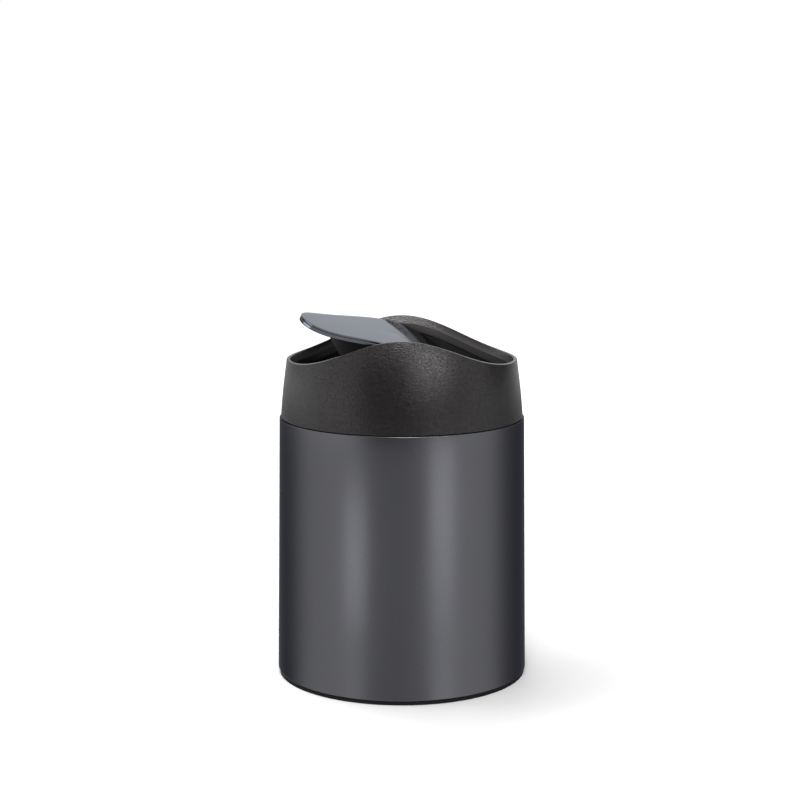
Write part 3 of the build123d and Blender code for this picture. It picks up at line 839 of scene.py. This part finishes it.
TABLE_WHITE = (0.8, 0.8, 0.8, 1)
TABLE_ROUGHNESS = 0.8
TABLE_REACH = 9
GLOW_FROM, GLOW_TO = 0.1, 0.9
NEAR_GLOW, FAR_GLOW = 0.0, 0.6


def white_floor():
    """Pale floor that looks white and keeps the bin's shadow."""
    material, tree, place = new_finish("white_table")
    matt = add_node(tree, "ShaderNodeBsdfPrincipled", {"Base Color": TABLE_WHITE,
                                                       "Roughness": TABLE_ROUGHNESS})
    distance = add_node(tree, "ShaderNodeVectorMath", {0: place}, operation="LENGTH").outputs["Value"]
    strength = add_node(tree, "ShaderNodeMapRange", {
        "Value": distance, "From Min": GLOW_FROM, "From Max": GLOW_TO, "To Min": NEAR_GLOW,
        "To Max": FAR_GLOW})
    glow = add_node(tree, "ShaderNodeEmission", {"Color": (1, 1, 1, 1), "Strength": strength.outputs[0]})
    both = add_node(tree, "ShaderNodeAddShader")
    tree.links.new(matt.outputs[0], both.inputs[0])
    tree.links.new(glow.outputs[0], both.inputs[1])
    mix = add_node(tree, "ShaderNodeMixShader", {0: seen_directly(tree)})
    tree.links.new(matt.outputs[0], mix.inputs[1])
    tree.links.new(both.outputs[0], mix.inputs[2])
    use_shader(tree, mix)
    return material


floor_mesh = bpy.data.meshes.new("table_top")
table_corners = [(along * TABLE_REACH, across * TABLE_REACH, 0)
                 for along, across in ((-1, -1), (1, -1), (1, 1), (-1, 1))]
floor_mesh.from_pydata(table_corners, [], [(0, 1, 2, 3)])
floor_mesh.materials.append(white_floor())
table_top = bpy.data.objects.new("table_top", floor_mesh)
bpy.context.scene.collection.objects.link(table_top)

ROOM_LIGHT = 0.55
world = bpy.data.worlds.new("white_room")
bpy.context.scene.world = world
world.use_nodes = True
room = world.node_tree
room.nodes.clear()
strength = add_node(room, "ShaderNodeMapRange", {"Value": seen_directly(room), "To Min": ROOM_LIGHT,
                                                 "To Max": 1.0})
background = add_node(room, "ShaderNodeBackground", {"Color": (1, 1, 1, 1),
                                                     "Strength": strength.outputs["Result"]})
room.links.new(background.outputs[0], add_node(room, "ShaderNodeOutputWorld").inputs["Surface"])
print("white room and table ready")

# %% [markdown]
# A lacquered can is a mirror bent round: what it shows is the room beside and behind the camera. So it gets
# a low screen to reflect, as shiny goods do in a studio: a curved wall close round the bin, open at the back,
# with a mat of the same kind on the table. Only reflections see it. It is no lamp, and no light falls on it:
# it glows by itself in soft upright bands of painted light. It is dimmer at the front, and dark towards the
# back, where it draws the can's edges.
#
# A band is easiest to name by the place on the can where it should show. A ray that meets the can at an
# angle leaves it at that angle again, so the place of the band on the screen follows from the mirror rule,
# and the screen's points are set out by it. The wall has three tiers: the lowest shows in the steel, and the
# middle one in the plastic collar, which leans back and looks over the lowest. The top row glows all round,
# and most at the place that shows on the front of the rim.
#
# A band is (middle, half width, brightness), with angles in degrees. A negative one takes light away.

# %% Screen bands
SCREEN_RADIUS = 150 * MM
MAT_HEIGHT = 0.5 * MM
MAT_RADII = (62.5 * MM, 68 * MM, 78 * MM, 95 * MM, 120 * MM)
STEEL_BANDS = [(0, 200, 0.14), (-4, 54, 0.35), (-36, 19, 0.42), (31, 19.5, 0.46), (-80, 10, 0.12),
               (80, 13, 0.1)]
LEFT_CORE, RIGHT_CORE, CROWN = (-21.5, 5), (18.5, 5.5), (15, 9)
CORE_LEVELS = [(0.5 * MM, 0.15, 0.25), (15 * MM, 0.6, 0.45), (47 * MM, 0.9, 0.7), (79 * MM, 0.7, 0.85),
               (108 * MM, 0.05, 0.8), (120 * MM, 0.05, 0.7)]
LOW_COLLAR_BANDS = [(0, 200, 1.0), (-42, 20, 0.3), (-75, 12, -0.5), (-7, 12.5, -1.02), (14, 13, -0.5),
                    (58, 9, -0.5), (75, 10, -0.4)]
COLLAR_BANDS = [(0, 200, 1.0), (-42, 20, 0.3), (-75, 18, -0.8), (-55, 25, -0.12), (-8, 13, -1.3),
                (14, 14, -0.6), (58, 10, -1.0), (75, 10, -0.4)]
COLLAR_LEVELS = [(132 * MM, LOW_COLLAR_BANDS), (148 * MM, LOW_COLLAR_BANDS), (164 * MM, COLLAR_BANDS),
                 (178 * MM, COLLAR_BANDS + [(*CROWN, 6.0)]), (190 * MM, [(0, 200, 0.7), (*CROWN, 13.0)])]
BAND_STEEPNESS = 6


def steel_bands(left_core, right_core):
    """Bands for the steel with the light of their two narrow cores."""
    return STEEL_BANDS + [(*LEFT_CORE, left_core), (*RIGHT_CORE, right_core)]


def band_light(bands, angle):
    """Light of the soft bands added up at an angle, and never below zero."""
    return max(0.0, sum(bright / (1 + (abs(angle - middle) / half) ** BAND_STEEPNESS)
                        for middle, half, bright in bands))


core_light = [round(band_light(steel_bands(*cores), LEFT_CORE[0]), 2) for _, *cores in CORE_LEVELS]
print("screen light at the left core:", core_light)

# %% Reflected screen
def mirrored_place(angle, radius):
    """Direction round the axis in which the can, at an angle, mirrors a wall of a given radius."""
    return 2 * angle - asin(min(1, base_radius / radius) * sin(angle))


def reflected_screen(steps=120):
    """Screen and mat round the bin, open at the back, glowing in painted bands, that only reflections see."""
    levels = [(radius, MAT_HEIGHT, steel_bands(*CORE_LEVELS[0][1:])) for radius in MAT_RADII]
    levels += [(SCREEN_RADIUS, height, steel_bands(left, right)) for height, left, right in CORE_LEVELS]
    levels += [(SCREEN_RADIUS, height, bands) for height, bands in COLLAR_LEVELS]
    angles = [pi * (step / steps - 0.5) for step in range(steps + 1)]
    points, light = [], []
    for radius, height, bands in levels:
        for angle in angles:
            turn = mirrored_place(angle, radius)
            points.append((radius * sin(turn), -radius * cos(turn), height))
            light.append(band_light(bands, degrees(angle)))
    row = steps + 1
    faces = [(low * row + step, low * row + step + 1, (low + 1) * row + step + 1, (low + 1) * row + step)
             for low in range(len(levels) - 1) for step in range(steps)]
    mesh = bpy.data.meshes.new("reflected_screen")
    mesh.from_pydata(points, [], faces)
    mesh.attributes.new("glow", "FLOAT", "POINT").data.foreach_set("value", light)
    material, tree, _ = new_finish("screen_glow")
    # The screen's bands are painted light: it glows by itself with the light of each band, and no lamp lights
    # it.
    glow = add_node(tree, "ShaderNodeAttribute", attribute_name="glow").outputs["Fac"]
    use_shader(tree, add_node(tree, "ShaderNodeEmission", {"Color": (1, 1, 1, 1), "Strength": glow}))
    mesh.materials.append(material)
    screen = bpy.data.objects.new("reflected_screen", mesh)
    bpy.context.scene.collection.objects.link(screen)
    screen.visible_camera = screen.visible_diffuse = screen.visible_shadow = False


reflected_screen()
print("screen points:", len(bpy.data.meshes["reflected_screen"].vertices))

# %% [markdown]
# The lamps do the rest. A wide one hangs high up, a little behind and to the left. It keeps the table white
# and gives the short soft shadow at the bin's right. One is in front, above the camera. It lights the inside
# of the collar and a patch of its front, and thins the shadow before the bin. A small one, low behind on the
# left, catches the collar's left edge and the moulding under the raised end of the flap. The last is in front
# at the camera's height and looks into the open mouth. The first and the last aren't seen by reflections, so
# they leave no streaks on the can.

# %% Lamps
AIM_HEIGHT = 0.12


def softbox(name, azimuth, distance, height, width, tall, power):
    """Area lamp aimed at the bin, azimuth degrees to the right of the camera, at a distance and height."""
    lamp = bpy.data.lights.new(name, "AREA")
    lamp.shape = "RECTANGLE"
    lamp.size, lamp.size_y, lamp.energy = width, tall, power
    holder = bpy.data.objects.new(name, lamp)
    bpy.context.scene.collection.objects.link(holder)
    turn = radians(azimuth)
    holder.location = (distance * sin(turn), -distance * cos(turn), height)
    aim = Vector((0, 0, AIM_HEIGHT)) - holder.location
    holder.rotation_euler = aim.to_track_quat("-Z", "Y").to_euler()
    return holder


softbox("high_softbox", -136, 0.3, 0.95, 0.95, 0.25, 8.0).visible_glossy = False
softbox("front_softbox", 3, 0.72, 0.72, 0.3, 0.25, 5.0)
softbox("edge_softbox", -128, 0.8, 0.32, 0.3, 0.3, 1.0)
softbox("mouth_softbox", -8, 0.95, 0.26, 0.4, 0.1, 3.5).visible_glossy = False
print("lamps:", [lamp.name for lamp in bpy.data.lights])

# %% [markdown]
# ## Camera
# The camera stands 0.9 metres in front of the bin and looks down by nine degrees, enough to see over the
# front of the rim to the inside of its back. How much the can's sides lean together depends on that distance
# and not on the lens. The lens is a long one, so that the bin fills enough of the picture.

# %% Camera
CAMERA_PLACE = (-0.0009, -0.9219, 0.2846)
CAMERA_DIP = 9.16
SENSOR_WIDTH, LENS_LENGTH = 36.0, 85.5
NEAREST_SEEN = 0.01

camera_lens = bpy.data.cameras.new("studio_camera")
camera_lens.sensor_width = SENSOR_WIDTH
camera_lens.lens = LENS_LENGTH
camera_lens.clip_start = NEAREST_SEEN
studio_camera = bpy.data.objects.new("studio_camera", camera_lens)
studio_camera.location = CAMERA_PLACE
studio_camera.rotation_euler = (radians(90 - CAMERA_DIP), 0, 0)
bpy.context.scene.collection.objects.link(studio_camera)
bpy.context.scene.camera = studio_camera
bpy.context.scene.view_settings.view_transform = "Standard"
print("camera looks down by", CAMERA_DIP, "degrees")
